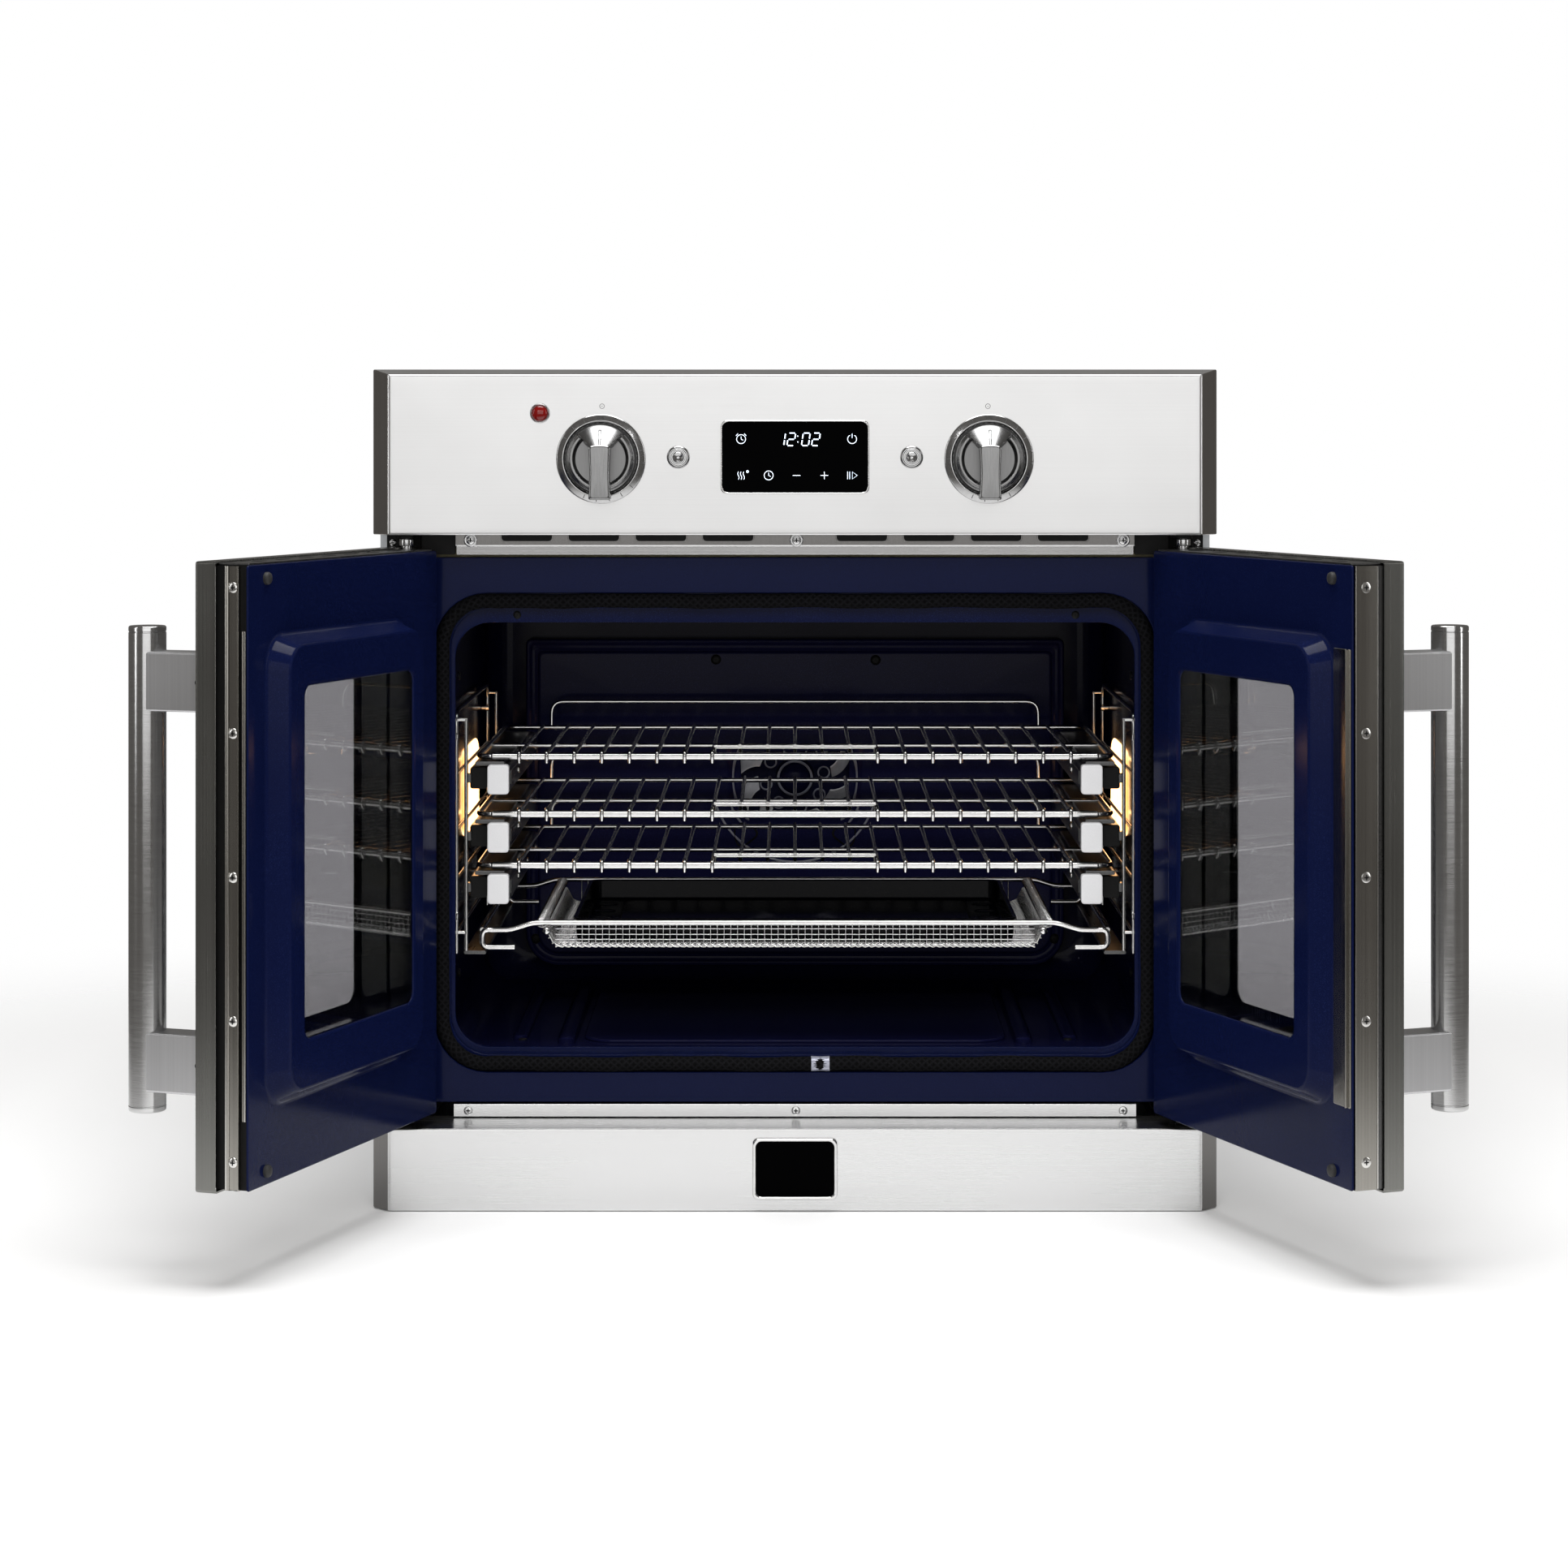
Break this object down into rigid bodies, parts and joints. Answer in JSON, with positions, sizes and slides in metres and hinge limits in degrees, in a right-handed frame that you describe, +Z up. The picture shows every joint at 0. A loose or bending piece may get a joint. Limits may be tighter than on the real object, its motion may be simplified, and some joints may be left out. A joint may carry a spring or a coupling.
{
  "type": "wall oven",
  "caption": "Built-in electric wall oven with two side-hung doors, rope gasket, enamelled cavity, sliding wire racks, air-fry basket, convection fan, knobs and display.",
  "frame": {"origin": "middle of the width on the underside of the base pan, in the plane of the face frame's front", "axes": "+X to the right seen from the front, +Y towards the back, +Z up"},
  "size_m": [1.1065, 0.9645, 0.752],
  "materials": {
    "galvanised_steel": "bare galvanised sheet, fine spangle",
    "blue_enamel": "glossy dark blue vitreous enamel with fine pale speckle",
    "stainless_steel": "brushed stainless steel, grain along the long side",
    "bright_wire": "bright chromed wire",
    "gasket_rope": "black braided glass-fibre rope",
    "mineral_wool": "matt wool blanket",
    "black_frame": "satin black frame",
    "black_plastic": "moulded black plastic",
    "display_black": "polished black glass",
    "door_glass": "clear tempered glass with a light grey tint",
    "circuit_board": "green board",
    "indicator_red": "translucent red lens",
    "heater_sheath": "oxidised dark sheath",
    "lamp_glass": "ribbed glass lens, lit warm"
  },
  "bodies": {
    "chassis": {"side_panel_left": "galvanised_steel", "side_panel_right": "galvanised_steel", "rear_panel": "galvanised_steel", "base_pan": "galvanised_steel", "top_cover": "galvanised_steel", "terminal_box": "galvanised_steel", "cavity_liner": "blue_enamel", "insulation_blanket": "mineral_wool", "face_frame": "blue_enamel", "door_gasket": "gasket_rope", "control_panel": "stainless_steel", "bottom_trim": "stainless_steel", "vent_strip": "stainless_steel", "bottom_strip": "stainless_steel", "display_glass": "display_black", "control_board": "circuit_board", "indicator_lamp": "indicator_red", "badge_plate": "display_black", "knob_bezel_left": "stainless_steel", "knob_bezel_right": "stainless_steel", "rotary_switch_left": "black_plastic", "rotary_switch_right": "black_plastic", "convection_baffle": "blue_enamel", "fan_motor": "galvanised_steel", "ring_element": "heater_sheath", "broil_element": "heater_sheath", "lamp_lens_left": "lamp_glass", "lamp_lens_right": "lamp_glass", "rack_ladder_left": "bright_wire", "rack_ladder_right": "bright_wire", "blower_housing": "galvanised_steel", "hinge_post_left": "stainless_steel", "hinge_post_right": "stainless_steel"},
    "left_door": {"door_skin_left": "stainless_steel", "door_panel_left": "blue_enamel", "door_core_left": "black_frame", "outer_glass_left": "door_glass", "inner_glass_left": "door_glass", "edge_channel_left": "stainless_steel", "handle_left": "stainless_steel"},
    "right_door": {"door_skin_right": "stainless_steel", "door_panel_right": "blue_enamel", "door_core_right": "black_frame", "outer_glass_right": "door_glass", "inner_glass_right": "door_glass", "edge_channel_right": "stainless_steel", "handle_right": "stainless_steel", "astragal": "stainless_steel"},
    "left_knob": {"knob_left": "stainless_steel"},
    "right_knob": {"knob_right": "stainless_steel"},
    "left_button": {"button_left": "stainless_steel"},
    "right_button": {"button_right": "stainless_steel"},
    "upper_rack": {"rack_upper": "bright_wire"},
    "middle_rack": {"rack_middle": "bright_wire"},
    "lower_rack": {"rack_lower": "bright_wire"},
    "basket": {"air_fry_basket": "bright_wire", "crisping_tray": "blue_enamel"},
    "convection_fan": {"fan_wheel": "bright_wire"},
    "cooling_blower": {"blower_wheel": "galvanised_steel"}
  },
  "joints": [
    {"name": "left_door_hinge", "type": "hinge", "parent": "chassis", "child": "left_door", "pos_m": [-0.3495, -0.0295, 0.336], "axis": [0, 0, -1], "range_deg": [-109.5, 0]},
    {"name": "right_door_hinge", "type": "hinge", "parent": "chassis", "child": "right_door", "pos_m": [0.3495, -0.0295, 0.336], "axis": [0, 0, 1], "range_deg": [-111, 0]},
    {"name": "left_knob_turn", "type": "hinge", "parent": "chassis", "child": "left_knob", "pos_m": [-0.1733, -0.056, 0.672], "axis": [0, 1, 0], "range_deg": [0, 300]},
    {"name": "right_knob_turn", "type": "hinge", "parent": "chassis", "child": "right_knob", "pos_m": [0.1733, -0.056, 0.672], "axis": [0, 1, 0], "range_deg": [0, 300]},
    {"name": "left_button_press", "type": "slide", "parent": "chassis", "child": "left_button", "axis": [0, 1, 0], "range_m": [0, 0.0015], "stiffness_N_per_m": 500, "springref_m": -0.001},
    {"name": "right_button_press", "type": "slide", "parent": "chassis", "child": "right_button", "axis": [0, 1, 0], "range_m": [0, 0.0015], "stiffness_N_per_m": 500, "springref_m": -0.001},
    {"name": "upper_rack_slide", "type": "slide", "parent": "chassis", "child": "upper_rack", "axis": [0, -1, 0], "range_m": [0, 0.3]},
    {"name": "middle_rack_slide", "type": "slide", "parent": "chassis", "child": "middle_rack", "axis": [0, -1, 0], "range_m": [0, 0.3]},
    {"name": "lower_rack_slide", "type": "slide", "parent": "chassis", "child": "lower_rack", "axis": [0, -1, 0], "range_m": [0, 0.3]},
    {"name": "basket_slide", "type": "slide", "parent": "chassis", "child": "basket", "axis": [0, -1, 0], "range_m": [0, 0.26]},
    {"name": "convection_fan_spin", "type": "hinge", "parent": "chassis", "child": "convection_fan", "pos_m": [0, 0.426, 0.34], "axis": [0, 1, 0], "continuous": true},
    {"name": "cooling_blower_spin", "type": "hinge", "parent": "chassis", "child": "cooling_blower", "pos_m": [0, 0.3, 0.64], "axis": [0, 0, 1], "continuous": true}
  ]
}
